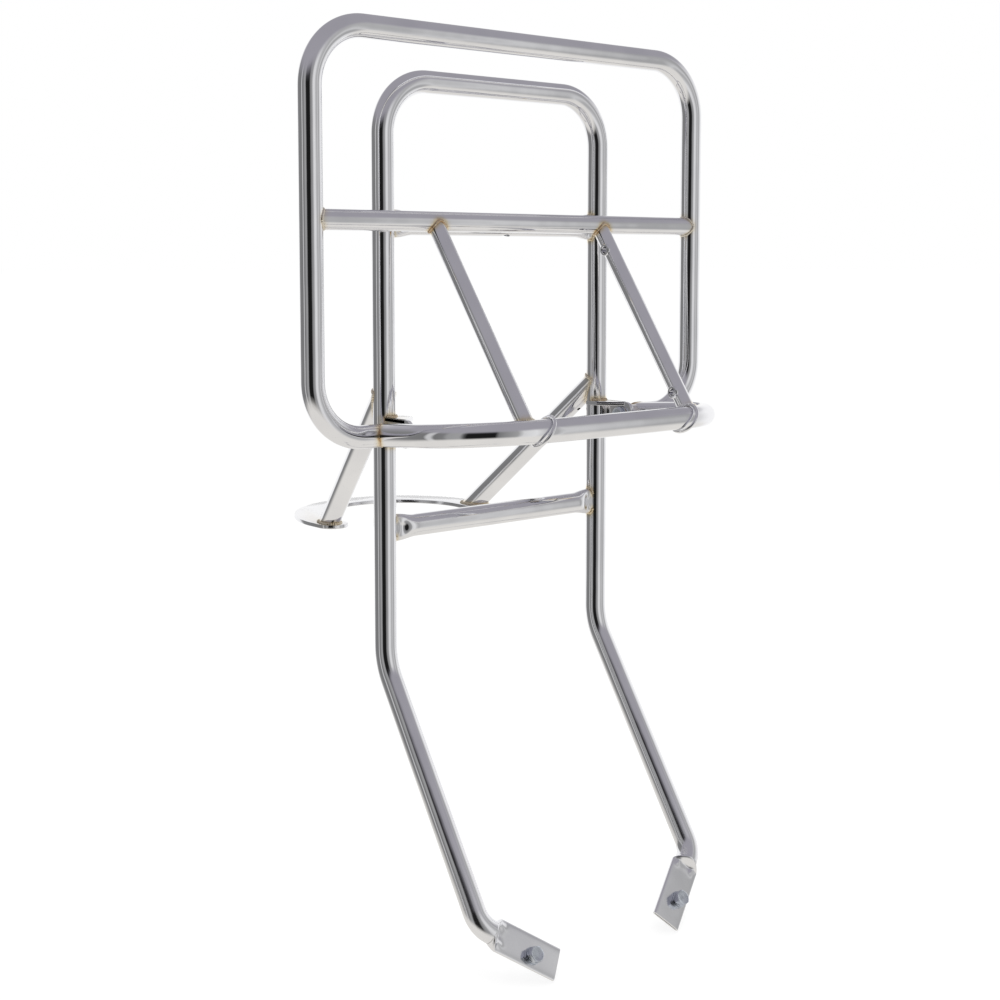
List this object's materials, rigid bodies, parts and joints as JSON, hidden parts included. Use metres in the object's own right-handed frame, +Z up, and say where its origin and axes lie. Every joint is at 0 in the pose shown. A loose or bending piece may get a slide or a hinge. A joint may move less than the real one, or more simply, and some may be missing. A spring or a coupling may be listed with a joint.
{
  "type": "fold-down rear rack",
  "caption": "Chromed tubular rear rack for a scooter: hoop frame with seat plate stays and bolt-on feet, and a hinged carrier loop that folds down.",
  "frame": {"origin": "middle of the seat plate's underside, on the centre plane", "axes": "+X to the right across the rack, +Y forward towards the seat, +Z up; the carrier is stored folded up"},
  "size_m": [0.374, 0.3507, 0.6473],
  "materials": {
    "chrome_plate": "polished chrome plate on steel tube, lightly tinted at the welds",
    "zinc_steel": "bright zinc plated steel",
    "bush_brass": "plain turned brass"
  },
  "bodies": {
    "frame": {"main_hoop": "chrome_plate", "upper_crossbar": "chrome_plate", "lower_crossbar": "chrome_plate", "stay_left": "chrome_plate", "stay_right": "chrome_plate", "seat_plate": "chrome_plate", "hinge_bracket_left": "chrome_plate", "hinge_bracket_right": "chrome_plate", "hinge_bush_left": "bush_brass", "hinge_bush_right": "bush_brass", "foot_bolts": "zinc_steel", "foot_spring_washers": "zinc_steel", "foot_flat_washers": "zinc_steel"},
    "carrier": {"carrier_loop": "chrome_plate", "bow": "chrome_plate", "carrier_crossbar": "chrome_plate", "strut_left": "chrome_plate", "strut_right": "chrome_plate", "strut_inserts": "chrome_plate", "hinge_plug_left": "chrome_plate", "hinge_plug_right": "chrome_plate", "hinge_bolt_left": "zinc_steel", "hinge_bolt_right": "zinc_steel", "hinge_washers": "zinc_steel", "bow_ring_left": "chrome_plate", "bow_ring_right": "chrome_plate"}
  },
  "joints": [
    {"name": "carrier_fold", "type": "hinge", "parent": "frame", "child": "carrier", "pos_m": [0, -0.2228, 0.0874], "axis": [1, 0, 0], "range_deg": [0, 90]}
  ]
}
